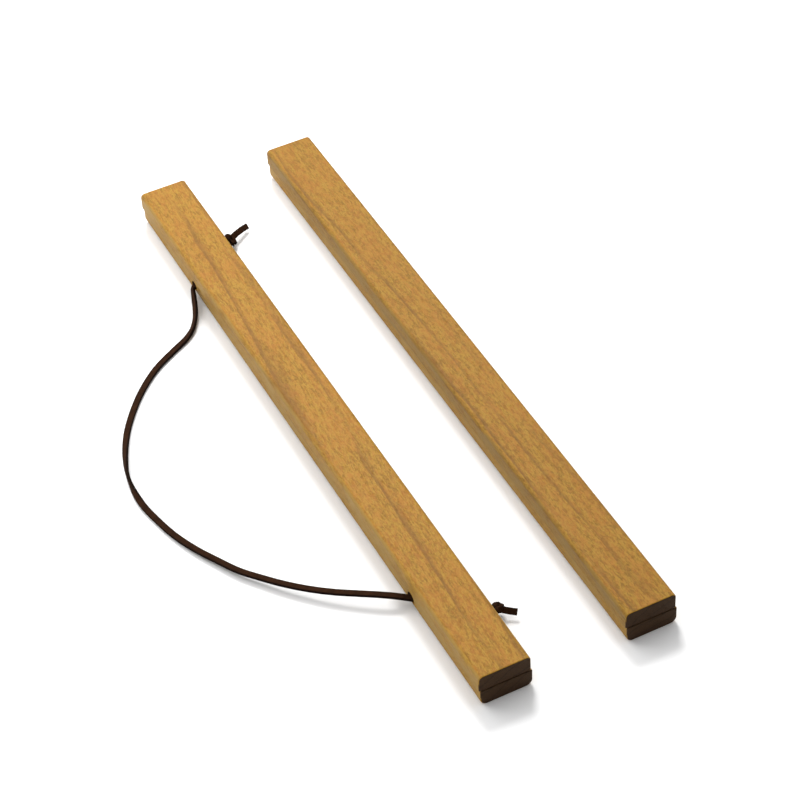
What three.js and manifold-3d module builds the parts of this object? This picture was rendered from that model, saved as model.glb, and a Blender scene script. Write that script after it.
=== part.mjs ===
// A magnetic wooden print hanger: two rails that clamp the top and bottom edge of a print.
// Each rail is a front and a back half slat, held together by disc magnets let into their
// inner faces. A flat leather lace runs through two splayed bores in the top rail's back
// slat and is knotted on the print side.
//
// Millimetres. The rails lie on their backs: +X runs along them to the right, +Y points
// from the bottom rail to the top rail, which is up when the hanger is on a wall, and +Z
// points out of the wall. The origin is under the middle of the two rails.
import * as THREE from "three";
import { mergeVertices } from "three/addons/utils/BufferGeometryUtils.js";
import Module from "manifold-3d";

// Rails
const RAIL_LENGTH = 300;
const RAIL_WIDTH = 20.5;
const RAIL_SPACING = 58.5; // between the rails' middle lines, as they lie
const SLAT_THICKNESS = 7.35;
const SEAM_GAP = 0.3; // room for one sheet of print between the slats
const SLAT_OFFSET = 0.6; // how far a front slat sits off its back slat's line
const FRONT_EDGE_RADIUS = 1.8; // long edges of a front slat's outer face
const BACK_EDGE_RADIUS = 2.6; // long edges of a back slat's outer face
const SEAM_EDGE_RADIUS = 0.5; // long edges next to the seam
const END_EASE = 0.35; // sanded arris round each sawn end

// Magnets, glued into blind pockets
const MAGNETS_PER_SLAT = 4;
const MAGNET_DIAMETER = 10;
const MAGNET_THICKNESS = 2;
const MAGNET_CHAMFER = 0.25;
const MAGNET_FROM_END = 15; // from a slat's end to the middle of its outer magnet
const MAGNET_RECESS = 0.1; // below the slat's inner face
const POCKET_CLEARANCE = 0.3; // glue room round and under a magnet

// Hanging lace
const LACE_WIDTH = 2.6;
const LACE_THICKNESS = 1.3;
const LACE_CORNER = 0.4; // taken off each corner of its section
const BORE_CLEARANCE = 0.3; // between the lace's corners and its bore
const BORE_FROM_END = 45; // from a slat's end to the middle of its bore
const BORE_SPLAY = THREE.MathUtils.degToRad(38); // in plan, outwards on the print side
const BORE_MOUTH_EASE = 0.9; // how far each mouth's ball-shaped easing is wider than its bore
const KNOT_RADIUS = 3.2;
const KNOT_LENGTH = 5.6; // along the bore
const KNOT_STANDOFF = 4.4; // from the print side to the knot's middle
const KNOT_GAP = 0.3; // between the lace's end and the knot

const wasm = await Module();
wasm.setup();

// ---- solids ----

// A closed geometry, moved by a matrix, as a manifold-3d solid.
function solidOf(geometry, matrix = new THREE.Matrix4()) {
  const bare = geometry.clone().applyMatrix4(matrix);
  bare.deleteAttribute("normal");
  bare.deleteAttribute("uv");
  const merged = mergeVertices(bare, 1e-4);
  return new wasm.Manifold(
    new wasm.Mesh({
      numProp: 3,
      vertProperties: merged.attributes.position.array,
      triVerts: new Uint32Array(merged.index.array),
    }),
  );
}

function geometryOf(solid) {
  const { vertProperties, triVerts } = solid.getMesh();
  const geometry = new THREE.BufferGeometry();
  geometry.setAttribute("position", new THREE.BufferAttribute(vertProperties, 3));
  geometry.setIndex(new THREE.BufferAttribute(triVerts, 1));
  geometry.computeVertexNormals();
  return geometry;
}

const at = (x, y, z) => new THREE.Matrix4().makeTranslation(x, y, z);
const turned = (x, y, z) => new THREE.Matrix4().makeRotationFromEuler(new THREE.Euler(x, y, z));

// ---- materials ----

const wood = new THREE.MeshStandardMaterial({ color: 0xc0904c, roughness: 0.62, metalness: 0 });
const leather = new THREE.MeshStandardMaterial({ color: 0x3d2b22, roughness: 0.8, metalness: 0 });
const nickel = new THREE.MeshStandardMaterial({ color: 0xc9c8c4, roughness: 0.25, metalness: 1 });

function piece(name, geometry, material) {
  const mesh = new THREE.Mesh(geometry, material);
  mesh.name = name;
  return mesh;
}

// ---- slats ----

// Section across a slat: its inner face lies on v = 0, its outer face on v = SLAT_THICKNESS.
function slatSection(outerRadius) {
  const side = RAIL_WIDTH / 2;
  const top = SLAT_THICKNESS;
  const inner = SEAM_EDGE_RADIUS;
  const section = new THREE.Shape();
  section.absarc(side - inner, inner, inner, -Math.PI / 2, 0, false);
  section.absarc(side - outerRadius, top - outerRadius, outerRadius, 0, Math.PI / 2, false);
  section.absarc(outerRadius - side, top - outerRadius, outerRadius, Math.PI / 2, Math.PI, false);
  section.absarc(inner - side, inner, inner, Math.PI, 1.5 * Math.PI, false);
  return section;
}

// A plain slat along X with eased ends, its inner face on z = 0 and its outer face above.
function slatBlank(outerRadius) {
  const ease = Math.min(END_EASE, 0.8 * SEAM_EDGE_RADIUS);
  const geometry = new THREE.ExtrudeGeometry(slatSection(outerRadius), {
    depth: RAIL_LENGTH - 2 * ease,
    bevelThickness: ease,
    bevelSize: ease,
    bevelOffset: -ease,
    bevelSegments: 2,
    curveSegments: 6,
  });
  const alongX = new THREE.Matrix4().makeBasis(
    new THREE.Vector3(0, 1, 0),
    new THREE.Vector3(0, 0, 1),
    new THREE.Vector3(1, 0, 0),
  );
  return solidOf(geometry, at(ease - RAIL_LENGTH / 2, 0, 0).multiply(alongX));
}

const magnetPlaces = Array.from({ length: MAGNETS_PER_SLAT }, (_, i) => {
  const reach = RAIL_LENGTH / 2 - MAGNET_FROM_END;
  return MAGNETS_PER_SLAT > 1 ? -reach + (2 * reach * i) / (MAGNETS_PER_SLAT - 1) : 0;
});

// Cuts the blind pockets into a slat's inner face.
function withPockets(slat) {
  const radius = MAGNET_DIAMETER / 2 + POCKET_CLEARANCE;
  const depth = MAGNET_RECESS + MAGNET_THICKNESS + POCKET_CLEARANCE;
  const tool = new THREE.CylinderGeometry(radius, radius, 2 * depth, 32).rotateX(Math.PI / 2);
  return magnetPlaces.reduce((left, x) => left.subtract(solidOf(tool, at(x, 0, 0))), slat);
}

// A magnet's lower face lies on z = 0.
function magnetGeometry() {
  const r = MAGNET_DIAMETER / 2;
  const c = MAGNET_CHAMFER;
  const t = MAGNET_THICKNESS;
  const outline = [[0, 0], [r - c, 0], [r, c], [r, t - c], [r - c, t], [0, t]];
  const points = outline.map(([x, y]) => new THREE.Vector2(x, y));
  return new THREE.LatheGeometry(points, 28).rotateX(Math.PI / 2);
}

// One half slat with its magnets, inner face on z = 0 and outer face above.
function slatWithMagnets(slatName, magnetName, slat) {
  const group = new THREE.Group();
  group.add(piece(slatName, geometryOf(slat), wood));
  magnetPlaces.forEach((x, i) => {
    const magnet = piece(`${magnetName}_${i + 1}`, magnetGeometry(), nickel);
    magnet.position.set(x, 0, MAGNET_RECESS);
    group.add(magnet);
  });
  return group;
}

// ---- places of the two slats in their rail ----

const backPlace = at(0, -SLAT_OFFSET / 2, SLAT_THICKNESS).multiply(turned(Math.PI, 0, 0));
const frontPlace = at(0, SLAT_OFFSET / 2, SLAT_THICKNESS + SEAM_GAP);

// ---- bores for the lace ----

// The bores' middle points and directions in the top rail's own frame. side is 1 on the
// right and -1 on the left; each direction points from the print side to the hanging side.
const boreHeight = SLAT_THICKNESS / 2;
const boreCentre = (side) =>
  new THREE.Vector3(side * (RAIL_LENGTH / 2 - BORE_FROM_END), -SLAT_OFFSET / 2, boreHeight);
const boreDirection = (side) =>
  new THREE.Vector3(-side * Math.sin(BORE_SPLAY), Math.cos(BORE_SPLAY), 0);
const boreHalfLength = RAIL_WIDTH / 2 / Math.cos(BORE_SPLAY);

// A point on a bore's axis, at a distance from its middle towards the hanging side.
const onBore = (side, along) =>
  boreCentre(side).addScaledVector(boreDirection(side), along);

// Drills a back slat that still lies in its own frame.
function withBores(slat) {
  const radius = Math.hypot(LACE_WIDTH / 2, LACE_THICKNESS / 2 - LACE_CORNER) + BORE_CLEARANCE;
  const drill = new THREE.CylinderGeometry(radius, radius, 2 * boreHalfLength + 8 * radius, 20);
  const ball = new THREE.SphereGeometry(radius + BORE_MOUTH_EASE, 20, 12);
  const toSlat = backPlace.clone().invert();
  const cut = (left, tool, place) => left.subtract(solidOf(tool, toSlat.clone().multiply(place)));
  let left = slat;
  for (const side of [-1, 1]) {
    const centre = boreCentre(side);
    const swing = turned(0, 0, side * BORE_SPLAY);
    left = cut(left, drill, at(centre.x, centre.y, centre.z).multiply(swing));
    for (const end of [-1, 1]) {
      const mouth = onBore(side, end * boreHalfLength);
      left = cut(left, ball, at(mouth.x, mouth.y, mouth.z));
    }
  }
  return left;
}

// ---- the lace and its knots, in the top rail's own frame ----

// The free loop from the right mouth to the left one. It lies on the table as far as the
// middle, then rises slowly to the left mouth, as stiff as the lace is. The second value is
// measured from the back slat's hanging side.
const loopPoints = [
  [95.5, 1.35, 3.6], [92.6, 2.35, 3.35], [89.9, 3.3, 2.95], [87.2, 4.25, 2.45],
  [84.4, 5.4, 1.95], [81.6, 6.8, 1.6], [76.8, 10.0, 1.35], [72.8, 14.6, 1.0],
  [68.7, 22.0, 0.85], [62.7, 31.9, 0.85], [54.6, 41.1, 0.85], [45.0, 49.3, 0.85],
  [34.2, 56.5, 1.0], [22.3, 62.0, 1.3], [9.8, 65.5, 1.45], [-2.8, 66.0, 1.15],
  [-14.2, 64.1, 0.95], [-25.3, 61.3, 1.1], [-35.2, 57.5, 1.45], [-44.3, 53.0, 1.8],
  [-53.2, 48.2, 2.15], [-60.9, 42.4, 2.5], [-68.1, 36.5, 2.95], [-74.8, 30.1, 3.45],
  [-80.9, 23.3, 4.05], [-86.1, 16.4, 4.55], [-90.1, 10.7, 4.8], [-93.1, 6.1, 4.6],
  [-95.1, 2.8, 4.1],
];
const LOOP_HALF_SPAN = 97; // the mouths' distance from the middle that those points suit

// Tails, from the knot's middle to the cut end.
const tailSteps = {
  right: [[0, 0, 0], [3.7, -6.0, -0.1], [6.4, -10.4, -1.4]],
  left: [[0, 0, 0], [-2.2, -2.7, 0.0], [-4.0, -5.3, -0.5]],
};

// The lace's section, flat across the second axis.
function laceSection() {
  const w = LACE_WIDTH / 2;
  const t = LACE_THICKNESS / 2;
  const c = LACE_CORNER;
  const outline = [
    [t, w - c], [t - c, w], [c - t, w], [-t, w - c],
    [-t, c - w], [c - t, -w], [t - c, -w], [t, c - w],
  ];
  return new THREE.Shape(outline.map(([x, y]) => new THREE.Vector2(x, y)));
}

function laceAlong(points, stepsPerWidth) {
  const curve = new THREE.CatmullRomCurve3(points, false, "centripetal");
  const steps = Math.max(2, Math.ceil((curve.getLength() / LACE_WIDTH) * stepsPerWidth));
  return new THREE.ExtrudeGeometry(laceSection(), { steps, extrudePath: curve });
}

const knotAlong = -(boreHalfLength + KNOT_STANDOFF / Math.cos(BORE_SPLAY));

function hangingCord() {
  const mouth = onBore(1, boreHalfLength);
  const spread = mouth.x / LOOP_HALF_SPAN;
  const end = knotAlong + KNOT_LENGTH / 2 + KNOT_GAP;
  const inBore = [end, -boreHalfLength, 0, 0.5 * boreHalfLength, boreHalfLength];
  const points = [
    ...inBore.map((along) => onBore(1, along)),
    ...loopPoints.map(([x, y, z]) => new THREE.Vector3(x * spread, y + mouth.y, z)),
    ...inBore.toReversed().map((along) => onBore(-1, along)),
  ];
  return piece("hanging_cord", laceAlong(points, 0.5), leather);
}

// A knot's plain body with its tail.
function cordKnot(name, side, steps) {
  const middle = onBore(side, knotAlong);
  const outline = new THREE.EllipseCurve(0, 0, KNOT_RADIUS, KNOT_LENGTH / 2, -Math.PI / 2, Math.PI / 2);
  const points = outline.getPoints(8);
  points[0].x = 0;
  points.at(-1).x = 0;
  const body = new THREE.LatheGeometry(points, 16);
  const place = at(middle.x, middle.y, middle.z).multiply(turned(0, 0, side * BORE_SPLAY));
  const tail = steps.map(([x, y, z]) => new THREE.Vector3(x, y, z).add(middle));
  const solid = solidOf(body, place).add(solidOf(laceAlong(tail, 0.75)));
  return piece(name, geometryOf(solid), leather);
}

// ---- assembly ----

// A rail: the back slat face down on the table, the front slat over it.
function rail(name, backSlat) {
  const group = new THREE.Group();
  const back = slatWithMagnets(`${name}_rail_back_slat`, `${name}_back_magnet`, backSlat);
  back.applyMatrix4(backPlace);
  const frontSlat = withPockets(slatBlank(FRONT_EDGE_RADIUS));
  const front = slatWithMagnets(`${name}_rail_front_slat`, `${name}_front_magnet`, frontSlat);
  front.applyMatrix4(frontPlace);
  group.add(back, front);
  return group;
}

const plainBack = withPockets(slatBlank(BACK_EDGE_RADIUS));
const topRail = rail("top", withBores(plainBack));
topRail.position.y = RAIL_SPACING / 2;
topRail.add(
  hangingCord(),
  cordKnot("left_cord_knot", -1, tailSteps.left),
  cordKnot("right_cord_knot", 1, tailSteps.right),
);
const bottomRail = rail("bottom", plainBack);
bottomRail.position.y = -RAIL_SPACING / 2;

const printHanger = new THREE.Group();
printHanger.add(topRail, bottomRail);

export default printHanger;
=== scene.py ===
"""A magnetic wooden print hanger: two rails of grained half slats held together by let-in
magnets, and a leather lace knotted behind the top rail. Every piece is built around the
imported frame, in metres."""

import math

import bpy
from bpy.props import FloatProperty, FloatVectorProperty, PointerProperty
from bpy.types import Operator, Panel, PropertyGroup
from mathutils import Matrix, Vector


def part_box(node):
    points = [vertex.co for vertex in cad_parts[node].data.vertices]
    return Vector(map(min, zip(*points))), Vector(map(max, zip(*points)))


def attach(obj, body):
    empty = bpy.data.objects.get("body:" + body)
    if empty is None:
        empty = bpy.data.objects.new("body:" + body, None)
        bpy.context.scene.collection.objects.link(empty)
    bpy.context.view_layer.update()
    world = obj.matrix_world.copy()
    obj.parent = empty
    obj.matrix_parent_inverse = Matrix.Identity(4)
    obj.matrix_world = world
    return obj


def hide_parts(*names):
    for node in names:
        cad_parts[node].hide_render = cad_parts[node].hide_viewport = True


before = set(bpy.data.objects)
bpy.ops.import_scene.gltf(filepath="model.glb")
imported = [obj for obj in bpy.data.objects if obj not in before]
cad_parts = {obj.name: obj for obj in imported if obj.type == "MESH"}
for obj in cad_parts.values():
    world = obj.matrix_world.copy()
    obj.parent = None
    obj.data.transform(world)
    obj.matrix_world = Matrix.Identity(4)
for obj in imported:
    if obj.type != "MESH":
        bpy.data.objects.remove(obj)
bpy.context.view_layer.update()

bl_info = {
    "name": "Print Hanger",
    "version": (1, 0, 0),
    "blender": (4, 5, 0),
    "location": "3D View > Sidebar > Print Hanger",
    "description": "Builds a magnetic wooden print hanger with its leather lace",
    "category": "Object",
}

MM = 0.001


def middle_and_size(node):
    """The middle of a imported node's box, and the box's sides."""
    low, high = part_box(node)
    return (low + high) / 2, high - low


def new_object(name, data):
    made = bpy.data.objects.new(name, data)
    bpy.context.scene.collection.objects.link(made)
    return made


SLAT_MIDDLE, SLAT_SIZE = middle_and_size("top_rail_back_slat")
MAGNET_SIZE = middle_and_size("top_back_magnet_1")[1]


# ---- sizes and colours that a user would change ----


def length(name, description, default):
    return FloatProperty(
        name=name, description=description, default=default, min=0, unit="LENGTH", precision=5
    )


def colour(name, description, default):
    return FloatVectorProperty(
        name=name, description=description, default=default, size=3, min=0, max=1, subtype="COLOR"
    )


class HANGER_PG_slats(PropertyGroup):
    front_edge: length("Front edge", "Radius along a front slat's outer edges", 1.8 * MM)
    back_edge: length("Back edge", "Radius along a back slat's outer edges", 2.6 * MM)
    seam_edge: length("Seam edge", "Radius along the edges of the inner faces", 0.5 * MM)
    end_ease: length("End ease", "Rounding round the sawn ends", 0.45 * MM)
    pocket_gap: length("Pocket gap", "Gap round and under a magnet", 0.3 * MM)
    bore_from_end: length("Bore from end", "From a sawn end to a bore's middle", 45 * MM)
    bore_splay: FloatProperty(
        name="Bore splay",
        description="Angle of the bores to the rail's width, closing towards the loop",
        default=math.radians(38),
        subtype="ANGLE",
    )
    bore_gap: length("Bore gap", "Gap round the lace in its bore", 0.3 * MM)
    mouth_ease: length("Mouth ease", "How much wider the bore is at its mouths", 0.9 * MM)
    straw: colour("Straw", "The palest, yellowest wood", (0.346, 0.188, 0.0235))
    honey: colour("Honey", "The darker mottle in it", (0.196, 0.093, 0.0090))
    ember: colour("Ember", "The reddish patches", (0.350, 0.128, 0.020))
    ring: colour("Ring", "The fine dark lines between the growth rings", (0.150, 0.066, 0.012))
    # Side is laid on the long sides by the way they face: painted shade and a painted reflection of
    # the pale floor.
    side: colour("Side", "The greyer long sides", (0.330, 0.218, 0.060))
    # The sawn ends' own darker end grain, made darker still as painted shade.
    end_grain_and_shade: colour("End grain", "The sawn ends", (0.058, 0.029, 0.012))


class HANGER_PG_magnets(PropertyGroup):
    edge: length("Edge", "Rounding of the discs' rims", 0.25 * MM)
    plating: colour("Plating", "The nickel plating", (0.60, 0.585, 0.56))


class HANGER_PG_lace(PropertyGroup):
    width: length("Width", "Width of the flat lace", 2.6 * MM)
    thickness: length("Thickness", "Thickness of the lace", 1.3 * MM)
    corner: length("Corner", "Rounding of the lace's four edges", 0.4 * MM)
    free_length: length("Length", "Length of the lace between its knots", 302.5 * MM)
    knot_standoff: length("Knot standoff", "From the rail's side to a knot's middle", 4.4 * MM)
    knot_squeeze: FloatProperty(
        name="Knot squeeze", description="How thin the lace is pulled in a knot", default=0.8
    )
    flesh: colour("Flat sides", "The brushed flat sides", (0.0165, 0.0062, 0.0023))
    cut: colour("Edges", "The cut edges", (0.0075, 0.0030, 0.0014))


class HANGER_PG_stage(PropertyGroup):
    floor: colour("Floor", "The pale floor", (0.86, 0.86, 0.86))
    key: FloatProperty(
        name="Key light", description="Power of the key light", default=11.2, subtype="POWER"
    )
    key_size: length("Key size", "Side of the key light, which softens its shadows", 0.32)
    softbox: FloatProperty(
        name="Softbox", description="Power of the softbox over the far end", default=4.2,
        subtype="POWER",
    )
    sky: FloatProperty(name="Sky", description="Strength of the soft light all round", default=1.12)


# ---- node trees ----


class Wire:
    """A number or a vector leaving a node. Sums with it add Math nodes."""

    def __init__(self, graph, socket):
        self.graph, self.socket = graph, socket

    def __add__(self, other):
        return self.graph.maths("ADD", self, other)

    def __radd__(self, other):
        return self.graph.maths("ADD", other, self)

    def __sub__(self, other):
        return self.graph.maths("SUBTRACT", self, other)

    def __rsub__(self, other):
        return self.graph.maths("SUBTRACT", other, self)

    def __mul__(self, other):
        return self.graph.maths("MULTIPLY", self, other)

    def __truediv__(self, other):
        return self.graph.maths("DIVIDE", self, other)

    def __pow__(self, other):
        return self.graph.maths("POWER", self, other)

    def __abs__(self):
        return self.graph.maths("ABSOLUTE", self)


class Outputs:
    """A node's outputs, by name or index, as wires."""

    def __init__(self, graph, node):
        self.graph, self.node = graph, node

    def __getitem__(self, key):
        return Wire(self.graph, self.node.outputs[key])


class Graph:
    """A node tree and the one way in which nodes are added to it."""

    def __init__(self, tree):
        self.tree = tree

    def node(self, kind, settings=None, values=None):
        """Adds a node, makes its settings first, then fills its sockets."""
        node = self.tree.nodes.new(kind)
        for name, value in (settings or {}).items():
            setattr(node, name, value)
        for key, value in (values or {}).items():
            self.fill(node.inputs[key], value)
        return Outputs(self, node)

    def fill(self, socket, value):
        """Links a wire to the socket, or sets it to a constant."""
        if isinstance(value, Wire):
            self.tree.links.new(value.socket, socket)
        else:
            socket.default_value = value

    def maths(self, operation, *values):
        return self.node("ShaderNodeMath", {"operation": operation}, dict(enumerate(values)))[0]

    def ramp(self, value, low, high):
        """0 at low, 1 at high, and a smooth way between them."""
        return self.node(
            "ShaderNodeMapRange", {"interpolation_type": "SMOOTHSTEP"}, {0: value, 1: low, 2: high}
        )[0]

    def blend(self, share, first, second):
        """One colour going over into another."""
        settings = {"data_type": "RGBA", "blend_type": "MIX"}
        return self.node("ShaderNodeMix", settings, {0: share, 6: first, 7: second})[2]

    def vector(self, x=0.0, y=0.0, z=0.0):
        return self.node("ShaderNodeCombineXYZ", values={0: x, 1: y, 2: z})[0]

    def parts(self, vector):
        split = self.node("ShaderNodeSeparateXYZ", values={0: vector})
        return split[0], split[1], split[2]

    def stretched(self, vector, by):
        """The vector times another, part by part."""
        settings = {"operation": "MULTIPLY"}
        return self.node("ShaderNodeVectorMath", settings, {0: vector, 1: by})[0]

    def scaled(self, vector, by):
        """The vector times a number."""
        settings = {"operation": "SCALE"}
        return self.node("ShaderNodeVectorMath", settings, {0: vector, "Scale": by})[0]

    def noise(self, vector, scale=1.0, detail=2.0, roughness=0.5):
        """Noise with features 1 / scale across, or stretched by a scale for each axis."""
        if isinstance(scale, tuple):
            vector, scale = self.stretched(vector, scale), 1.0
        values = {"Vector": vector, "Scale": scale, "Detail": detail, "Roughness": roughness}
        return self.node("ShaderNodeTexNoise", values=values)[0]


def opaque(tint, shade=1.0):
    """The colour with its alpha, made darker or paler by the shade."""
    return (*(part * shade for part in tint), 1.0)


def new_material(name):
    """A material, the graph of its node tree and its shader."""
    material = bpy.data.materials.new(name)
    material.use_nodes = True
    graph = Graph(material.node_tree)
    return material, graph, material.node_tree.nodes["Principled BSDF"]


def fill_shader(graph, shader, values):
    for name, value in values.items():
        graph.fill(shader.inputs[name], value)


def bumps(graph, strength, distance, height):
    """The normal of a surface with this height, in shares of the distance."""
    values = {"Strength": strength, "Distance": distance, "Height": height}
    return graph.node("ShaderNodeBump", values=values)[0]


# ---- materials ----

# The growth rings: their pith's place from the log's own origin, the rings in a metre and how
# far a ring wavers.
PITH_Y, PITH_Z = -0.05, -0.11
RINGS_IN_A_METRE = 210
RING_WAVER = 8 * MM
# No edge of a slat is worn nearer to its seam than this, and all are from the second height.
WORN_FROM, WORN_BY = 3 * MM, 5 * MM


def wood(name, slats, cut, seam):
    """Oiled straight-grained hardwood. cut says where in the log a slat lay and how dark it is,
    and seam is the height of its inner face, where no edge is worn."""
    shift, lean, shade = cut
    material, graph, shader = new_material(name)
    coordinates = graph.node("ShaderNodeTexCoord")
    place = graph.node(
        "ShaderNodeMapping",
        values={"Vector": coordinates["Object"], "Location": shift, "Rotation": lean},
    )[0]

    # Sawn ends, the worn edges round them, and the long sides.
    normal_x, normal_y, _ = graph.parts(coordinates["Normal"])
    facing = abs(normal_x)
    from_seam = abs(graph.parts(coordinates["Object"])[2] - seam)
    is_outer = graph.ramp(from_seam, WORN_FROM, WORN_BY)
    is_sawn = graph.ramp(facing, 0.70, 0.92)
    is_end = graph.maths("MAXIMUM", is_sawn, graph.ramp(facing, 0.02, 0.12) * (1 - is_outer))
    is_worn = graph.ramp(facing, 0.10, 0.35) * (1 - is_sawn) * is_outer
    shaded_side_mask = graph.ramp(abs(normal_y), 0.35, 0.85)

    # Growth rings round a pith far below the slat, which waver slowly along it.
    _, y, z = graph.parts(place)
    waver = graph.noise(place, (9, 70, 70)) * RING_WAVER
    across = ((y - PITH_Y) ** 2 + (z - PITH_Z) ** 2) ** 0.5 + waver
    phase = graph.maths("FRACT", across * RINGS_IN_A_METRE)
    ring = graph.ramp(phase, 0.70, 0.93) * (1 - graph.ramp(phase, 0.93, 1.0))

    # The figure, from broad clouds down to fine pores, all longer along the grain.
    cloud = graph.noise(place, (16, 90, 90))
    patch = graph.noise(place, (60, 210, 210), roughness=0.6)
    mottle = graph.noise(place, (270, 950, 950), detail=3.0, roughness=0.65)
    blush = graph.noise(place, (420, 760, 900), roughness=0.6)
    fleck = graph.noise(place, (900, 1700, 1700), roughness=0.7)
    fibre = graph.noise(place, (110, 2600, 2600), detail=3.0, roughness=0.7)
    pores = graph.noise(place, (500, 4600, 4600), detail=1.0)
    pore = graph.ramp(pores, 0.60, 0.74)

    tone = graph.ramp(mottle, 0.42, 0.60) * 0.60 + graph.ramp(fibre, 0.38, 0.66) * 0.30
    tone = tone + graph.ramp(fleck, 0.42, 0.58) * 0.50 + graph.ramp(cloud, 0.4, 0.7) * 0.10 - 0.3
    grain = graph.blend(tone, opaque(slats.straw, shade), opaque(slats.honey, shade))
    warm = graph.ramp(patch, 0.42, 0.62) * 0.45 + graph.ramp(blush, 0.46, 0.58) * 0.55
    grain = graph.blend(warm, grain, graph.blend(0.5, grain, opaque(slats.ember, shade)))
    dark = ring * graph.ramp(cloud, 0.30, 0.6) * 0.60 + pore * 0.25
    grain = graph.blend(dark, grain, opaque(slats.ring, shade))
    # Painted shade and a painted reflection of the pale floor: the long sides take a greyer, darker
    # colour by the way they face. They also take the slat's shade twice, so a darker slat's sides
    # darken faster, most of all on the bottom rail's front slat.
    side_shade_share = shaded_side_mask * (0.2 + graph.ramp(patch, 0.40, 0.60) * 0.5)
    grain = graph.blend(side_shade_share, grain, opaque(slats.side, shade * shade))

    dots = graph.ramp(pores, 0.50, 0.66)
    # The sawn ends: end grain darker than the long grain, and darker still as painted shade.
    pale_end, dark_end = (opaque(slats.end_grain_and_shade, shade * part) for part in (1.0, 0.5))
    sawn = graph.blend(ring * 0.5 + dots * 0.5, pale_end, dark_end)
    surface = graph.blend(is_end, grain, sawn)
    surface = graph.blend(is_worn * 0.5, surface, opaque(slats.straw, shade * 1.15))

    height = fibre * 0.6 - pore + fleck * 0.5 + mottle * 0.4 - dots * is_end * 0.8
    fill_shader(graph, shader, {
        "Base Color": surface,
        "Roughness": 0.46 + pore * 0.25 + fibre * 0.14 + is_end * 0.15,
        "Normal": bumps(graph, 0.6, 0.07 * MM, height),
        "Specular IOR Level": 0.10,
    })
    return material


def leather(name, lace):
    """Dark brown lace: brushed flat sides, darker along the cut edges."""
    material, graph, shader = new_material(name)
    place = graph.node("ShaderNodeTexCoord")["Object"]
    edge = graph.node("ShaderNodeAttribute", {"attribute_name": "cut_edge"})["Fac"]
    nap = graph.noise(place, 5200, detail=3.0, roughness=0.7)
    patch = graph.noise(place, 420, roughness=0.6)
    brushed = graph.ramp(nap * 0.6 + patch * 0.5, 0.40, 0.75)
    flat = graph.blend(brushed, opaque(lace.flesh), opaque(lace.flesh, 2.0))
    fill_shader(graph, shader, {
        "Base Color": graph.blend(edge, flat, opaque(lace.cut)),
        "Roughness": 0.72 + nap * 0.25,
        "Normal": bumps(graph, 0.8, 0.12 * MM, nap + patch * 1.5),
        "Specular IOR Level": 0.05,
    })
    return material


def nickel(name, magnets):
    """Bright nickel plating with a faint orange peel and fine scuffs."""
    material, graph, shader = new_material(name)
    place = graph.node("ShaderNodeTexCoord")["Object"]
    peel = graph.noise(place, 900)
    scuff = graph.noise(place, (700, 5200, 2400), detail=3.0, roughness=0.7)
    clouded = graph.ramp(peel, 0.4, 0.7) * 0.6
    fill_shader(graph, shader, {
        "Base Color": graph.blend(clouded, opaque(magnets.plating), opaque(magnets.plating, 0.78)),
        "Roughness": 0.20 + graph.ramp(scuff, 0.5, 0.8) * 0.22,
        "Normal": bumps(graph, 0.25, 0.02 * MM, peel + scuff * 0.4),
        "Metallic": 1.0,
    })
    return material


# ---- geometry node trees ----

KINDS = {
    float: "NodeSocketFloat", int: "NodeSocketInt", bool: "NodeSocketBool",
    "geometry": "NodeSocketGeometry", "material": "NodeSocketMaterial",
}
CREASE_ANGLE = math.radians(38)
# Steps round a slat's and a lace's corners, and over the rounding of an end or a rim.
SLAT_CORNER_STEPS, LACE_CORNER_STEPS, EASE_STEPS = 8, 4, 4
# Sides of the round cutters and of a magnet's rim, and the rings of a mouth's ball.
POCKET_SIDES, BORE_SIDES, RIM_SIDES, BALL_RINGS = 48, 40, 64, 24
# How far the lace's surface wanders.
LACE_WANDER = 0.06 * MM


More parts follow.
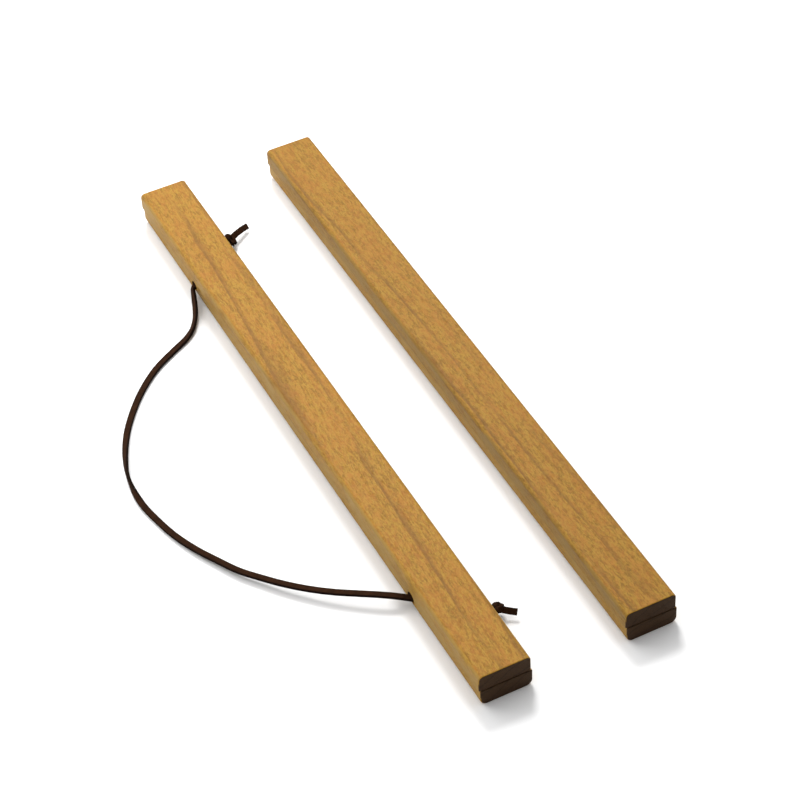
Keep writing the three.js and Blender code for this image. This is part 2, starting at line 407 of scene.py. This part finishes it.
class Recipe(Graph):
    """A geometry tree with named inputs."""

    def __init__(self, name, inputs):
        super().__init__(bpy.data.node_groups.new(name, "GeometryNodeTree"))
        face = self.tree.interface
        for label, kind in inputs.items():
            face.new_socket(label, in_out="INPUT", socket_type=KINDS[kind])
        face.new_socket("Geometry", in_out="OUTPUT", socket_type=KINDS["geometry"])
        self.inputs = self.node("NodeGroupInput")

    def end(self, geometry):
        """Closes the tree: smooth faces, creases where it turns sharply, and the material."""
        smooth = self.node("GeometryNodeSetShadeSmooth", values={0: geometry})[0]
        angle = self.node("GeometryNodeInputMeshEdgeAngle")[0]
        crease = self.compare(angle, "GREATER_THAN", CREASE_ANGLE)
        creased = self.node(
            "GeometryNodeSetShadeSmooth", {"domain": "EDGE"}, {0: smooth, 1: crease, 2: False}
        )[0]
        real = self.node("GeometryNodeRealizeInstances", values={0: creased})[0]
        values = {"Geometry": real, "Material": self.inputs["Material"]}
        coated = self.node("GeometryNodeSetMaterial", values=values)[0]
        self.node("NodeGroupOutput", values={0: coated})

    def compare(self, first, way, second):
        settings = {"data_type": "FLOAT", "operation": way}
        return self.node("FunctionNodeCompare", settings, {0: first, 1: second})[0]

    def choose(self, test, when_true, when_false, kind="FLOAT"):
        values = {"Switch": test, "False": when_false, "True": when_true}
        return self.node("GeometryNodeSwitch", {"input_type": kind}, values)[0]

    def position(self):
        return self.node("GeometryNodeInputPosition")[0]

    def moved(self, geometry, **values):
        """The geometry with its points at a new position or offset."""
        values = {"Geometry": geometry, **{name.title(): value for name, value in values.items()}}
        return self.node("GeometryNodeSetPosition", values=values)[0]

    def turned(self, geometry, rotation=(0.0, 0.0, 0.0), translation=(0.0, 0.0, 0.0)):
        values = {"Geometry": geometry, "Rotation": rotation, "Translation": translation}
        return self.node("GeometryNodeTransform", values=values)[0]

    def rounded_outline(self, width, height, radius, steps):
        """A rectangle with rounded corners."""
        values = {"Width": width, "Height": height}
        outline = self.node("GeometryNodeCurvePrimitiveQuadrilateral", values=values)[0]
        values = {"Curve": outline, "Count": steps, "Radius": radius, "Limit Radius": True}
        return self.node("GeometryNodeFilletCurve", {"mode": "POLY"}, values)[0]

    def swept(self, curve, section, **values):
        """The section run along the curve, with closed ends."""
        values = {"Curve": curve, "Profile Curve": section, "Fill Caps": True, **values}
        return self.node("GeometryNodeCurveToMesh", values=values)[0]

    def stored(self, geometry, name, value):
        """The geometry with a number kept on each of its points."""
        settings = {"data_type": "FLOAT", "domain": "POINT"}
        values = {"Geometry": geometry, "Name": name, "Value": value}
        return self.node("GeometryNodeStoreNamedAttribute", settings, values)[0]

    def kept(self, name, kind="FLOAT"):
        settings = {"data_type": kind}
        return self.node("GeometryNodeInputNamedAttribute", settings, {"Name": name})[0]

    def drum(self, sides, radius, depth):
        values = {"Vertices": sides, "Radius": radius, "Depth": depth}
        return self.node("GeometryNodeMeshCylinder", values=values)[0]

    def cut(self, body, tool):
        settings = {"operation": "DIFFERENCE", "solver": "EXACT"}
        values = {"Mesh 1": body, "Mesh 2": tool}
        return self.node("GeometryNodeMeshBoolean", settings, values)[0]

    def eased_line(self, half, ease):
        """A line along X whose points crowd where the ends round over, and each point's inset."""
        count = 2 * (EASE_STEPS + 1)
        line = self.node("GeometryNodeCurvePrimitiveLine")[0]
        line = self.node("GeometryNodeResampleCurve", values={"Curve": line, "Count": count})[0]
        index = self.node("GeometryNodeInputIndex")[0]
        from_end = self.maths("MINIMUM", index, (count - 1) - index)
        turn = from_end * (math.pi / 2 / EASE_STEPS)
        side = self.choose(self.compare(index, "GREATER_THAN", EASE_STEPS + 0.5), 1.0, -1.0)
        along = side * (half - ease * (1 - self.maths("COSINE", turn)))
        line = self.stored(line, "inset", ease * (1 - self.maths("SINE", turn)))
        return self.moved(line, position=self.vector(along))

    def copies(self, geometry, count, reach, z=0.0):
        """The geometry at even places along X, from -reach to reach."""
        values = {
            "Count": count, "Start Location": self.vector(reach * -1.0, 0.0, z),
            "Offset": self.vector(reach, 0.0, z),
        }
        points = self.node("GeometryNodeMeshLine", {"mode": "END_POINTS"}, values)[0]
        values = {"Points": points, "Instance": geometry}
        placed = self.node("GeometryNodeInstanceOnPoints", values=values)[0]
        return self.node("GeometryNodeRealizeInstances", values={0: placed})[0]


def slat_recipe():
    """One half slat round the origin, along X: rounded edges, eased ends, pockets and bores."""
    recipe = Recipe("Half slat", {
        "Length": float, "Width": float, "Thickness": float,
        "Upper Edge": float, "Lower Edge": float, "End Ease": float,
        "Magnets": int, "Magnet Reach": float, "Pocket Radius": float, "Pocket Depth": float,
        "Pocket Side": float, "Bored": bool, "Bore Reach": float, "Bore Splay": float,
        "Bore Radius": float, "Mouth Radius": float, "Material": "material",
    })
    given = recipe.inputs
    width, thickness = given["Width"], given["Thickness"]
    upper, lower = given["Upper Edge"], given["Lower Edge"]

    # The section across the slat, lower edges and upper edges each with their own radius. The
    # outline's own height runs down the slat.
    height = recipe.parts(recipe.position())[1]
    radius = recipe.choose(recipe.compare(height, "LESS_THAN", 0.0), upper, lower)
    section = recipe.rounded_outline(width, thickness, radius, SLAT_CORNER_STEPS)
    bar = recipe.swept(recipe.eased_line(given["Length"] / 2, given["End Ease"]), section)

    # Near the ends the section draws in square to its own outline.
    _, y, z = recipe.parts(recipe.position())
    edge = recipe.choose(recipe.compare(z, "GREATER_THAN", 0.0), upper, lower)

    def past(value, core):
        """How far the value is past the core on either side."""
        return value - recipe.maths("MINIMUM", recipe.maths("MAXIMUM", value, core * -1.0), core)

    outward = recipe.vector(0.0, past(y, width / 2 - edge), past(z, thickness / 2 - edge))
    square = recipe.node("ShaderNodeVectorMath", {"operation": "NORMALIZE"}, {0: outward})[0]
    bar = recipe.moved(bar, offset=recipe.scaled(square, recipe.kept("inset") * -1.0))

    # Blind pockets in the inner face.
    drum = recipe.drum(POCKET_SIDES, given["Pocket Radius"], given["Pocket Depth"] * 2)
    inner = thickness / 2 * given["Pocket Side"]
    bar = recipe.cut(bar, recipe.copies(drum, given["Magnets"], given["Magnet Reach"], inner))

    # Two splayed bores with eased mouths.
    drill = recipe.drum(BORE_SIDES, given["Bore Radius"], width * 2)
    ball = recipe.node(
        "GeometryNodeMeshUVSphere",
        values={"Segments": BORE_SIDES, "Rings": BALL_RINGS, "Radius": given["Mouth Radius"]},
    )[0]
    bored = bar
    splay = given["Bore Splay"]
    sine, cosine = recipe.maths("SINE", splay), recipe.maths("COSINE", splay)
    half_run = width / 2 / cosine
    for side in (1.0, -1.0):
        centre = given["Bore Reach"] * side
        turn = recipe.vector(math.pi / 2, 0.0, splay * side)
        bored = recipe.cut(bored, recipe.turned(drill, turn, recipe.vector(centre)))
        for end in (1.0, -1.0):
            run = half_run * end
            mouth = recipe.vector(centre - sine * run * side, cosine * run)
            bored = recipe.cut(bored, recipe.turned(ball, translation=mouth))
    recipe.end(recipe.choose(given["Bored"], bored, bar, "GEOMETRY"))
    return recipe.tree


def magnet_recipe():
    """A row of disc magnets along X, each with a rounded rim."""
    recipe = Recipe("Magnet row", {
        "Count": int, "Reach": float, "Radius": float, "Thickness": float, "Edge": float,
        "Material": "material",
    })
    given = recipe.inputs
    line = recipe.eased_line(given["Thickness"] / 2, given["Edge"])
    values = {"Resolution": RIM_SIDES, "Radius": given["Radius"]}
    rim = recipe.node("GeometryNodeCurvePrimitiveCircle", values=values)[0]
    disc = recipe.swept(line, rim, Scale=1 - recipe.kept("inset") / given["Radius"])
    upright = recipe.turned(disc, (0.0, math.pi / 2, 0.0))
    recipe.end(recipe.copies(upright, given["Count"], given["Reach"]))
    return recipe.tree


def lace_recipe():
    """A flat lace along the given line, whose flat side faces the line's own flat_side. Its
    narrow sides are marked as cut edges, and its surface wanders a little."""
    recipe = Recipe("Flat lace", {
        "Line": "geometry", "Width": float, "Thickness": float, "Corner": float,
        "Material": "material",
    })
    given = recipe.inputs
    curve = recipe.node("GeometryNodeMeshToCurve", values={"Mesh": given["Line"]})[0]
    values = {"Curve": curve, "Normal": recipe.kept("flat_side", "FLOAT_VECTOR")}
    curve = recipe.node("GeometryNodeSetCurveNormal", {"mode": "FREE"}, values)[0]
    section = recipe.rounded_outline(
        given["Thickness"], given["Width"], given["Corner"], LACE_CORNER_STEPS
    )
    reach = abs(recipe.parts(recipe.position())[1]) / given["Width"]
    section = recipe.stored(section, "cut_edge", recipe.ramp(reach, 0.36, 0.47))
    strip = recipe.swept(curve, section)
    wander = recipe.noise(recipe.position(), 700) - 0.5
    normal = recipe.node("GeometryNodeInputNormal")[0]
    recipe.end(recipe.moved(strip, offset=recipe.scaled(normal, wander * LACE_WANDER)))
    return recipe.tree


def cast(recipe, name, inputs, mesh=None, place=None):
    """Runs a recipe with these inputs and returns its result as a plain mesh object."""
    base = new_object(name + "_base", mesh or bpy.data.meshes.new(name + "_base"))
    modifier = base.modifiers.new("Recipe", "NODES")
    modifier.node_group = recipe
    for item in recipe.interface.items_tree:
        if item.in_out == "INPUT" and item.name in inputs:
            modifier[item.identifier] = inputs[item.name]
    depsgraph = bpy.context.evaluated_depsgraph_get()
    made = bpy.data.meshes.new_from_object(base.evaluated_get(depsgraph), depsgraph=depsgraph)
    bpy.data.objects.remove(base)
    if place:
        made.transform(place)
    made.name = name
    return new_object(name, made)


# ---- the lace's route ----

# The free loop from the right mouth to the left one: along the rail, out from the rail's
# hanging side, up, in millimetres, and how far the flat side is rolled off the level.
LOOP = [
    (95.5, 1.35, 3.6, 60), (92.6, 2.35, 3.35, 56), (89.9, 3.3, 2.95, 52), (87.2, 4.25, 2.45, 50),
    (84.4, 5.4, 1.95, 50), (81.6, 6.8, 1.6, 50), (76.8, 10.0, 1.35, 42), (72.8, 14.6, 1.0, 15),
    (68.7, 22.0, 0.85, 0), (62.7, 31.9, 0.85, 0), (54.6, 41.1, 0.85, 0), (45.0, 49.3, 0.85, 0),
    (34.2, 56.5, 1.0, 12), (22.3, 62.0, 1.3, 48), (9.8, 65.5, 1.45, 88), (-2.8, 66.0, 1.15, 32),
    (-14.2, 64.1, 0.95, 14), (-25.3, 61.3, 1.1, 6), (-35.2, 57.5, 1.45, 0),
    (-44.3, 53.0, 1.8, 0), (-53.2, 48.2, 2.15, 0), (-60.9, 42.4, 2.5, 0), (-68.1, 36.5, 2.95, 0),
    (-74.8, 30.1, 3.45, 0), (-80.9, 23.3, 4.05, 0), (-86.1, 16.4, 4.55, 0),
    (-90.1, 10.7, 4.8, 0), (-93.1, 6.1, 4.6, 0), (-95.1, 2.8, 4.1, 0),
]
# Tails from a knot's middle to the cut end, in millimetres, and their roll in degrees.
TAILS = {
    1: [(1.0, -1.4, 0.1, 30), (3.7, -6.0, -0.1, 45), (6.4, -10.4, -1.4, 50)],
    -1: [(-0.9, -1.1, -0.3, -35), (-2.3, -2.9, -0.6, -50), (-4.3, -5.7, -0.9, -50)],
}
# Half a knot's length along the lace, the gap between it and the loop's end, and the gap
# between the layers of lace in it.
KNOT_HALF_LENGTH, KNOT_GAP, LAYER_GAP = 2.8 * MM, 0.3 * MM, 0.03 * MM
# Where round its ring a knot's strand starts, how much of the whole turn it leaves open, both
# in radians, and the steps that it takes.
KNOT_START, KNOT_OPENING, KNOT_STEPS = 0.12, 0.7, 18
# The steps along the finished lines of the loop and of a knot.
LOOP_STEP, KNOT_STEP = 0.8 * MM, 0.3 * MM
# A knot's lie: how far it is turned about its strand, then in millimetres how far its ring
# hangs to one side, half the ring's width across the strand and half its depth along it.
KNOT_LIE = {1: (220, 0.0, 1.8, 0.7), -1: (0, 0.4, 1.1, 1.0)}


def bore_axis(side, slats):
    """A bore's middle and its direction towards the loop. side is 1 on the right."""
    middle = Vector((side * (SLAT_SIZE.x / 2 - slats.bore_from_end), SLAT_MIDDLE.y, SLAT_MIDDLE.z))
    splay = slats.bore_splay
    return middle, Vector((-side * math.sin(splay), math.cos(splay), 0))


def half_bore(slats):
    """Half a bore's length, from the slat's middle to its side."""
    return SLAT_SIZE.y / 2 / math.cos(slats.bore_splay)


def knot_reach(lace, slats):
    """From a bore's middle to its knot's middle."""
    return half_bore(slats) + lace.knot_standoff / math.cos(slats.bore_splay)


def catmull_rom(points, step):
    """Points a step apart on a centripetal spline through the points, as 4-vectors whose last
    number is carried along."""
    lead = [2 * points[0] - points[1], *points, 2 * points[-1] - points[-2]]
    fine = []
    for a, b, c, d in zip(lead, lead[1:], lead[2:], lead[3:]):
        ta = 0.0
        tb = ta + (b.xyz - a.xyz).length ** 0.5
        tc = tb + (c.xyz - b.xyz).length ** 0.5
        td = tc + (d.xyz - c.xyz).length ** 0.5
        pieces = max(1, round((c.xyz - b.xyz).length / step))
        for i in range(pieces):
            t = tb + (tc - tb) * i / pieces
            ab = a.lerp(b, (t - ta) / (tb - ta))
            bc = b.lerp(c, (t - tb) / (tc - tb))
            cd = c.lerp(d, (t - tc) / (td - tc))
            abc = ab.lerp(bc, (t - ta) / (tc - ta))
            bcd = bc.lerp(cd, (t - tb) / (td - tb))
            fine.append(abc.lerp(bcd, (t - tb) / (tc - tb)))
    return [*fine, points[-1].copy()]


def tangents(points):
    ends = [points[0], *points, points[-1]]
    return [(after - before).normalized() for before, after in zip(ends, ends[2:])]


def line_mesh(name, points, flat_sides):
    """A chain of edges that carries the direction of the lace's flat side."""
    mesh = bpy.data.meshes.new(name)
    mesh.from_pydata(points, [(i, i + 1) for i in range(len(points) - 1)], [])
    side = mesh.attributes.new("flat_side", "FLOAT_VECTOR", "POINT")
    side.data.foreach_set("vector", [part for direction in flat_sides for part in direction])
    return mesh


def rolled(tangent, roll):
    """The level lace's upward side, rolled about the lace."""
    level = tangent.cross(Vector((0, 0, 1))).cross(tangent).normalized()
    return Matrix.Rotation(math.radians(roll), 3, tangent) @ level


def loop_line(lace, slats):
    """The middle of the lace and its flat sides, from the right knot to the left one."""
    mouth = half_bore(slats)
    runs = [KNOT_HALF_LENGTH + KNOT_GAP - knot_reach(lace, slats), -mouth, 0, mouth / 2, mouth]
    right, left = (
        [Vector((*(middle + way * run), 0)) for run in runs]
        for middle, way in (bore_axis(1, slats), bore_axis(-1, slats))
    )
    hanging_side = SLAT_MIDDLE.y + SLAT_SIZE.y / 2
    free = [Vector((x * MM, hanging_side + out * MM, up * MM, roll)) for x, out, up, roll in LOOP]
    fine = catmull_rom([*right, *free, *reversed(left)], LOOP_STEP)
    points = [point.xyz for point in fine]
    return points, [rolled(way, point.w) for way, point in zip(tangents(points), fine)]


def knot_line(side, lace, slats):
    """An overhand knot pulled tight on a bore's axis, with its tail: a trefoil round a flat
    ring that lies across the strand, open at one end of the ring."""
    bore_middle, way = bore_axis(side, slats)
    out, up = -way, Vector((0, 0, 1))
    centre = bore_middle + out * knot_reach(lace, slats)
    tilt, *ring = KNOT_LIE[side]
    offset, wide, deep = (part * MM for part in ring)
    across = Matrix.Rotation(math.radians(tilt), 3, out) @ up.cross(out)
    over = out.cross(across)
    layer = lace.thickness * lace.knot_squeeze / 2 + LAYER_GAP

    strand = [
        (centre - out * (KNOT_HALF_LENGTH + KNOT_GAP), up),
        (centre - out * (KNOT_HALF_LENGTH * 0.75), up),
    ]
    for i in range(KNOT_STEPS + 1):
        turn = KNOT_START + (2 * math.pi - KNOT_OPENING) * i / KNOT_STEPS
        around, through = 2 * turn, 3 * turn
        swing = layer * math.cos(through)
        point = centre + across * ((wide + swing) * math.cos(around) + offset)
        point += out * (deep + swing) * math.sin(around) + over * layer * math.sin(through)
        square = Vector((math.cos(around) * deep, math.sin(around) * wide)).normalized()
        square *= math.cos(through)
        strand.append((point, across * square.x + out * square.y + over * math.sin(through)))
    last = strand[-1][1]
    for x, y, z, roll in TAILS[side]:
        point = centre + Vector((x, y, z)) * MM
        flat = rolled((point - strand[-1][0]).normalized(), roll * side)
        strand.append((point, flat if flat.dot(last) > 0 else -flat))

    path = catmull_rom([Vector((*point, i)) for i, (point, _) in enumerate(strand)], KNOT_STEP)
    points = [point.xyz for point in path]
    sides = []
    for tangent, at in zip(tangents(points), path):
        i = min(len(strand) - 2, max(0, math.floor(at.w)))
        flat = strand[i][1].lerp(strand[i + 1][1], at.w - i)
        sides.append((flat - tangent * flat.dot(tangent)).normalized())
    return points, sides


# ---- operators ----

# The camera's place, the point that it looks at, its roll and its lens.
EYE = Vector((-0.63845, 0.28499, 0.67974))
TARGET = Vector((-0.00063, -0.00540, 0.0))
ROLL = math.radians(-3.648)
LENS_MM, SENSOR_MM = 112.45, 36.0
# Half the floor's side, how far it is below the rails, and where it pales into the distance.
FLOOR_HALF, FLOOR_DROP = 4.0, 0.05 * MM
PALE_FROM, PALE_BY, PALE_GLOW = 0.8, 1.8, 0.6
KEY_PLACE = Vector((0.70, -0.26, 0.94))
SOFTBOX_PLACE, SOFTBOX_SIZE = Vector((0.48, 0.28, 0.48)), 0.8
# The background's strength as the camera sees it.
BACKDROP = 1.1

MAGNETS_IN_A_SLAT = 4
# For each slat, where it lay in the log, in metres, how it leaned, in radians, and its shade.
LOG_CUTS = {
    ("top", "back"): ((0.31, 0.012, 0.021), (0.0, 0.02, 0.012), 0.95),
    ("top", "front"): ((1.12, -0.031, 0.004), (0.1, -0.015, 0.014), 0.94),
    ("bottom", "back"): ((2.45, 0.024, -0.013), (-0.1, 0.01, -0.015), 0.95),
    ("bottom", "front"): ((3.71, 0.043, 0.017), (0.15, 0.012, -0.022), 0.83),
}


class HANGER_OT_stage(Operator):
    """Sets up the camera, the floor and the light"""

    bl_idname = "hanger.stage"
    bl_label = "Stage"

    def execute(self, context):
        stage = context.scene.hanger_stage
        self.camera(context)
        self.floor(stage)
        self.lights(context, stage)
        context.scene.view_settings.view_transform = "Standard"
        return {"FINISHED"}

    def camera(self, context):
        lens = bpy.data.cameras.new("Camera")
        lens.lens, lens.sensor_width = LENS_MM, SENSOR_MM
        camera = new_object("Camera", lens)
        context.scene.camera = camera
        aim = (TARGET - EYE).to_track_quat("-Z", "Y").to_matrix() @ Matrix.Rotation(ROLL, 3, "Z")
        camera.matrix_world = Matrix.Translation(EYE) @ aim.to_4x4()

    def floor(self, stage):
        mesh = bpy.data.meshes.new("Floor")
        corners = [
            (x * FLOOR_HALF, y * FLOOR_HALF, -FLOOR_DROP)
            for x, y in ((-1, -1), (1, -1), (1, 1), (-1, 1))
        ]
        mesh.from_pydata(corners, [], [(0, 1, 2, 3)])
        floor = new_object("Floor", mesh)
        material, graph, shader = new_material("floor_paper")
        x, y, _ = graph.parts(graph.node("ShaderNodeTexCoord")["Object"])
        fill_shader(graph, shader, {
            "Emission Color": graph.ramp((x * x + y * y) ** 0.5, PALE_FROM, PALE_BY),
            "Emission Strength": PALE_GLOW,
            "Base Color": opaque(stage.floor),
            "Roughness": 1.0,
            "Specular IOR Level": 0.0,
        })
        mesh.materials.append(material)

    def lights(self, context, stage):
        for name, power, size, place in (
            ("Key", stage.key, stage.key_size, KEY_PLACE),
            ("Softbox", stage.softbox, SOFTBOX_SIZE, SOFTBOX_PLACE),
        ):
            light = bpy.data.lights.new(name, "AREA")
            light.energy, light.size = power, size
            lamp = new_object(name, light)
            aim = place.to_track_quat("Z", "Y").to_matrix().to_4x4()
            lamp.matrix_world = Matrix.Translation(place) @ aim

        # The soft light all round is brighter from the key light's side.
        world = bpy.data.worlds.new("Studio")
        context.scene.world = world
        world.use_nodes = True
        graph = Graph(world.node_tree)
        x, _, z = graph.parts(graph.node("ShaderNodeTexCoord")["Generated"])
        lit = graph.ramp(x + z * 0.7, -0.35, 0.55) * 0.95 + 0.05
        seen = graph.node("ShaderNodeLightPath")["Is Camera Ray"]
        strength = lit * (1 - seen) * stage.sky + seen * BACKDROP
        fill_shader(graph, world.node_tree.nodes["Background"], {
            "Strength": strength, "Color": opaque((1.0, 1.0, 1.0)),
        })


class HANGER_OT_lace(Operator):
    """Lays the leather lace and ties its two knots"""

    bl_idname = "hanger.lace"
    bl_label = "Lace and knots"

    def execute(self, context):
        lace, slats = context.scene.hanger_lace, context.scene.hanger_slats
        recipe = lace_recipe()
        material = leather("lace_leather", lace)
        sizes = {
            "Width": lace.width, "Thickness": lace.thickness, "Corner": lace.corner,
            "Material": material,
        }
        squeezed = {**sizes, "Thickness": lace.thickness * lace.knot_squeeze}
        for side, word in ((-1, "left"), (1, "right")):
            points, flat_sides = knot_line(side, lace, slats)
            name = f"{word}_overhand_knot"
            knot = cast(recipe, name, squeezed, line_mesh(name, points, flat_sides))
            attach(knot, "top_rail_back")
            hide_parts(f"{word}_cord_knot")
        points, flat_sides = loop_line(lace, slats)
        cord = cast(recipe, "leather_lace", sizes, line_mesh("lace", points, flat_sides))
        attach(cord, "top_rail_back")
        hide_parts("hanging_cord")
        return {"FINISHED"}


class HANGER_OT_slats(Operator):
    """Shapes the four half slats"""

    bl_idname = "hanger.slats"
    bl_label = "Half slats"

    def execute(self, context):
        slats, lace = context.scene.hanger_slats, context.scene.hanger_lace
        recipe = slat_recipe()
        bore_radius = math.hypot(lace.width / 2, lace.thickness / 2 - lace.corner) + slats.bore_gap
        for (rail, layer), log_cut in LOG_CUTS.items():
            node = f"{rail}_rail_{layer}_slat"
            middle, size = middle_and_size(node)
            magnet = middle_and_size(f"{rail}_{layer}_magnet_1")[0]
            front = layer == "front"
            outer = slats.front_edge if front else slats.back_edge
            inner_side = -1.0 if front else 1.0
            seam = size.z / 2 * inner_side + middle.z
            magnet_floor = abs(magnet.z - seam) + MAGNET_SIZE.z / 2
            piece = cast(recipe, node + "_wood", {
                "Length": size.x, "Width": size.y, "Thickness": size.z,
                "Upper Edge": outer if front else slats.seam_edge,
                "Lower Edge": slats.seam_edge if front else outer,
                "End Ease": slats.end_ease,
                "Magnets": MAGNETS_IN_A_SLAT, "Magnet Reach": abs(magnet.x),
                "Pocket Radius": MAGNET_SIZE.x / 2 + slats.pocket_gap,
                "Pocket Depth": magnet_floor + slats.pocket_gap,
                "Pocket Side": inner_side, "Bored": (rail, layer) == ("top", "back"),
                "Bore Reach": size.x / 2 - slats.bore_from_end, "Bore Splay": slats.bore_splay,
                "Bore Radius": bore_radius, "Mouth Radius": bore_radius + slats.mouth_ease,
                "Material": wood(node + "_wood", slats, log_cut, seam),
            }, place=Matrix.Translation(middle))
            weighted = piece.modifiers.new("Flat faces", "WEIGHTED_NORMAL")
            weighted.keep_sharp = True
            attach(piece, f"{rail}_rail_{layer}")
            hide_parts(node)
        return {"FINISHED"}


class HANGER_OT_magnets(Operator):
    """Sets the rows of disc magnets in their pockets"""

    bl_idname = "hanger.magnets"
    bl_label = "Magnets"

    def execute(self, context):
        magnets = context.scene.hanger_magnets
        recipe = magnet_recipe()
        material = nickel("magnet_nickel", magnets)
        for rail, layer in LOG_CUTS:
            nodes = [f"{rail}_{layer}_magnet_{i + 1}" for i in range(MAGNETS_IN_A_SLAT)]
            middle = middle_and_size(nodes[0])[0]
            piece = cast(recipe, f"{rail}_{layer}_magnets", {
                "Count": len(nodes), "Reach": abs(middle.x), "Radius": MAGNET_SIZE.x / 2,
                "Thickness": MAGNET_SIZE.z, "Edge": magnets.edge, "Material": material,
            }, place=Matrix.Translation((0, middle.y, middle.z)))
            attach(piece, f"{rail}_rail_{layer}")
            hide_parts(*nodes)
        return {"FINISHED"}


class HANGER_PT_sidebar(Panel):
    """Lists the print hanger's pieces"""

    bl_idname = "HANGER_PT_sidebar"
    bl_label = "Print Hanger"
    bl_space_type = "VIEW_3D"
    bl_region_type = "UI"
    bl_category = "Print Hanger"

    def draw(self, context):
        for operator, settings in STEPS:
            box = self.layout.box()
            box.operator(operator.bl_idname)
            group = getattr(context.scene, settings)
            for name in group.__annotations__:
                box.prop(group, name)


STEPS = (
    (HANGER_OT_stage, "hanger_stage"),
    (HANGER_OT_lace, "hanger_lace"),
    (HANGER_OT_slats, "hanger_slats"),
    (HANGER_OT_magnets, "hanger_magnets"),
)
GROUPS = {
    "hanger_stage": HANGER_PG_stage,
    "hanger_lace": HANGER_PG_lace,
    "hanger_slats": HANGER_PG_slats,
    "hanger_magnets": HANGER_PG_magnets,
}
CLASSES = (*GROUPS.values(), *(operator for operator, _ in STEPS), HANGER_PT_sidebar)


def register():
    for each in CLASSES:
        bpy.utils.register_class(each)
    for name, group in GROUPS.items():
        setattr(bpy.types.Scene, name, PointerProperty(type=group))


def unregister():
    for name in GROUPS:
        delattr(bpy.types.Scene, name)
    for each in reversed(CLASSES):
        bpy.utils.unregister_class(each)


def main():
    register()
    bpy.ops.hanger.stage()
    bpy.ops.hanger.lace()
    bpy.ops.hanger.slats()
    bpy.ops.hanger.magnets()


if __name__ == "__main__":
    main()
